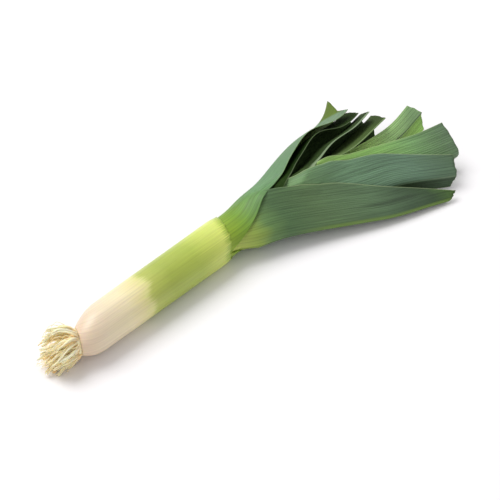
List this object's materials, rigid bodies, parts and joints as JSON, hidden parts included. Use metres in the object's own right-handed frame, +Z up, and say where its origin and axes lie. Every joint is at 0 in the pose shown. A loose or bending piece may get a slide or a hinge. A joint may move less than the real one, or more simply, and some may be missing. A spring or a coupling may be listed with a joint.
{
  "type": "leek",
  "caption": "Fresh leek lying on its side: white shaft with a root tuft, trimmed outer sheath and folded green leaves cut short.",
  "frame": {"origin": "bottom centre of the bounding box, on the surface that the leek lies on", "axes": "+X from the roots to the cut leaf ends, +Y to the leek's left, +Z up"},
  "size_m": [0.4492, 0.1612, 0.0542],
  "materials": {
    "roots": "matt, fibrous",
    "sheath": "smooth satin, white to lime green",
    "leaf_outer": "matt waxy bloom, ribbed lengthwise",
    "leaf_middle": "satin, ribbed lengthwise",
    "leaf_young": "smooth satin",
    "heart": "smooth satin"
  },
  "bodies": {
    "root": {"basal_plate_and_roots": "roots", "outer_sheath": "sheath", "leaf_left_1": "leaf_outer", "leaf_right_1": "leaf_outer", "leaf_left_2": "leaf_middle", "leaf_right_2": "leaf_outer", "leaf_left_3": "leaf_middle", "leaf_right_3": "leaf_middle", "leaf_left_4": "leaf_middle", "leaf_right_4": "leaf_young", "heart_leaf": "heart"}
  },
  "joints": []
}
